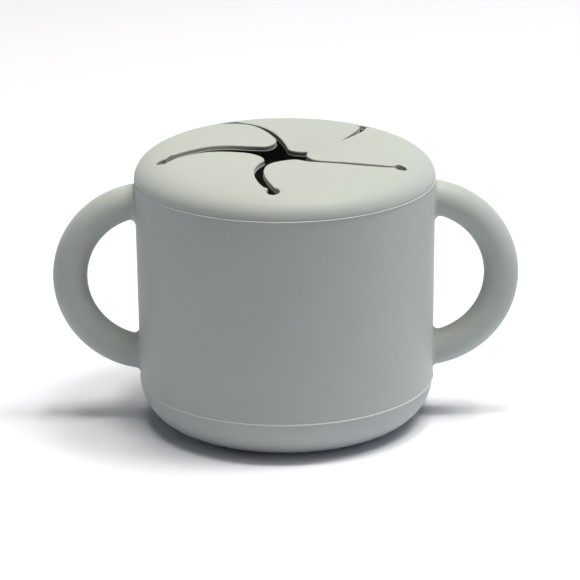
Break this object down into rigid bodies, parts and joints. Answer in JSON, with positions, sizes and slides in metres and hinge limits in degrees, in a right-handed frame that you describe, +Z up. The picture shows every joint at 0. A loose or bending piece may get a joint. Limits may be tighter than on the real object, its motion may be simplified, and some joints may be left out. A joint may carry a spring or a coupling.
{
  "type": "toddler snack cup",
  "caption": "Soft snack cup with loop handles and a plug-in lid cut by curved slits into bending petals, which let a small hand in and keep the snacks in.",
  "frame": {"origin": "middle of the cup's foot, on the surface it stands on", "axes": "+Z up along the cup's axis, +X towards the right handle, -Y towards the front"},
  "size_m": [0.1312, 0.0842, 0.0777],
  "materials": {
    "cup_silicone": "matte, soft-touch silicone",
    "lid_silicone": "matte, soft-touch silicone"
  },
  "bodies": {
    "cup": {"cup_body": "cup_silicone", "handle_left": "cup_silicone", "handle_right": "cup_silicone"},
    "lid": {"lid_ring": "lid_silicone"},
    "petal_1": {"petal_1": "lid_silicone"},
    "petal_2": {"petal_2": "lid_silicone"},
    "petal_3": {"petal_3": "lid_silicone"},
    "petal_4": {"petal_4": "lid_silicone"},
    "petal_5": {"petal_5": "lid_silicone"}
  },
  "joints": [
    {"name": "lid_lift", "type": "slide", "parent": "cup", "child": "lid", "axis": [0, 0, 1], "range_m": [0, 0.045]},
    {"name": "petal_1_bend", "type": "hinge", "parent": "lid", "child": "petal_1", "pos_m": [0.00258, 0.02779, 0.07695], "axis": [0.9957, -0.0924, 0], "range_deg": [-40, 60], "stiffness_Nm_per_rad": 0.02},
    {"name": "petal_2_bend", "type": "hinge", "parent": "lid", "child": "petal_2", "pos_m": [-0.02563, 0.01104, 0.07695], "axis": [0.3955, 0.9184, 0], "range_deg": [-40, 60], "stiffness_Nm_per_rad": 0.02},
    {"name": "petal_3_bend", "type": "hinge", "parent": "lid", "child": "petal_3", "pos_m": [-0.01842, -0.02097, 0.07695], "axis": [-0.7513, 0.66, 0], "range_deg": [-40, 60], "stiffness_Nm_per_rad": 0.02},
    {"name": "petal_4_bend", "type": "hinge", "parent": "lid", "child": "petal_4", "pos_m": [0.01425, -0.024, 0.07695], "axis": [-0.8599, -0.5105, 0], "range_deg": [-40, 60], "stiffness_Nm_per_rad": 0.02},
    {"name": "petal_5_bend", "type": "hinge", "parent": "lid", "child": "petal_5", "pos_m": [0.02723, 0.00614, 0.07695], "axis": [0.2198, -0.9755, 0], "range_deg": [-40, 60], "stiffness_Nm_per_rad": 0.02}
  ]
}
